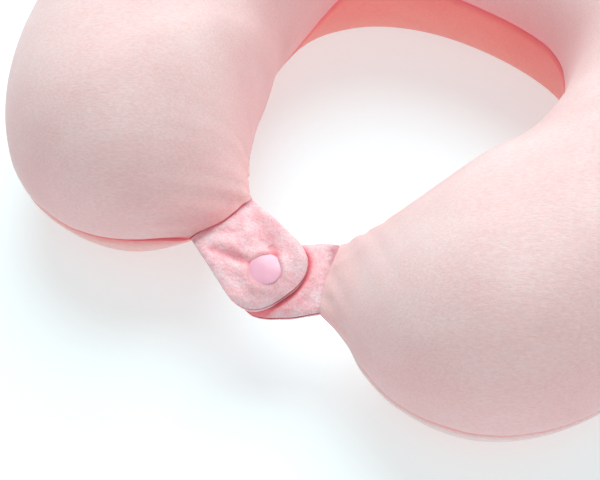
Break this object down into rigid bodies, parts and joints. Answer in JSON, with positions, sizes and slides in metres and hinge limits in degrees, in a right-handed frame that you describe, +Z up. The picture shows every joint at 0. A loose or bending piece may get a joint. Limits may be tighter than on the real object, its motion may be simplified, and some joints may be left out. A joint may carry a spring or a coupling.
{
  "type": "u shaped neck pillow",
  "caption": "U-shaped travel neck pillow with a memory foam core, a zipped velour cover and two front tabs that join with a press snap.",
  "frame": {"origin": "middle of the underside's bounding box, on the surface the pillow rests on", "axes": "+Z up from the resting surface, +Y towards the closed back of the U, +X towards the arm that carries the lower tab; X = 0 is the cover's plane of symmetry"},
  "size_m": [0.2872, 0.2585, 0.0979],
  "materials": {
    "velour": "short-pile velour, pale pink",
    "plush": "plush, stronger pink",
    "zip_tape": "woven polyester tape",
    "liner": "thin knitted liner",
    "foam": "slow-recovery polyurethane foam",
    "zip_plastic": "nylon coil",
    "zip_slider": "enamelled zinc",
    "snap_plastic": "glossy acetal, lilac pink"
  },
  "bodies": {
    "pillow": {"foam_core": "foam", "inner_liner": "liner", "cover_top_panel": "velour", "cover_bottom_panel": "velour", "zip_tape_upper": "zip_tape", "zip_tape_lower": "zip_tape", "zip_coil_upper": "zip_plastic", "zip_coil_lower": "zip_plastic", "zip_top_stop_upper": "zip_slider", "zip_top_stop_lower": "zip_slider", "zip_bottom_stop": "zip_slider"},
    "upper_tab": {"upper_tab_face": "plush", "upper_tab_lining": "plush", "snap_cap": "snap_plastic", "snap_socket": "snap_plastic"},
    "lower_tab": {"lower_tab_face": "plush", "lower_tab_lining": "plush", "snap_stud": "snap_plastic", "snap_back_cap": "snap_plastic"},
    "slider": {"zip_slider": "zip_slider"},
    "pull": {"zip_pull": "zip_slider"}
  },
  "joints": [
    {"name": "upper_tab_lift", "type": "hinge", "parent": "pillow", "child": "upper_tab", "pos_m": [-0.02436, -0.09991, 0.03981], "axis": [-0.4067, -0.8824, -0.2364], "range_deg": [0, 90]},
    {"name": "lower_tab_drop", "type": "hinge", "parent": "pillow", "child": "lower_tab", "pos_m": [0.02436, -0.09991, 0.03981], "axis": [0.4067, -0.8824, -0.2364], "range_deg": [0, 75]},
    {"name": "zip_travel", "type": "hinge", "parent": "pillow", "child": "slider", "pos_m": [0, 0, 0.047], "axis": [0, 0, 1], "range_deg": [0, 66]},
    {"name": "zip_pull_swing", "type": "hinge", "parent": "slider", "child": "pull", "pos_m": [0.0725, 0.10953, 0.047], "axis": [0, 0, -1], "range_deg": [0, 170]}
  ]
}
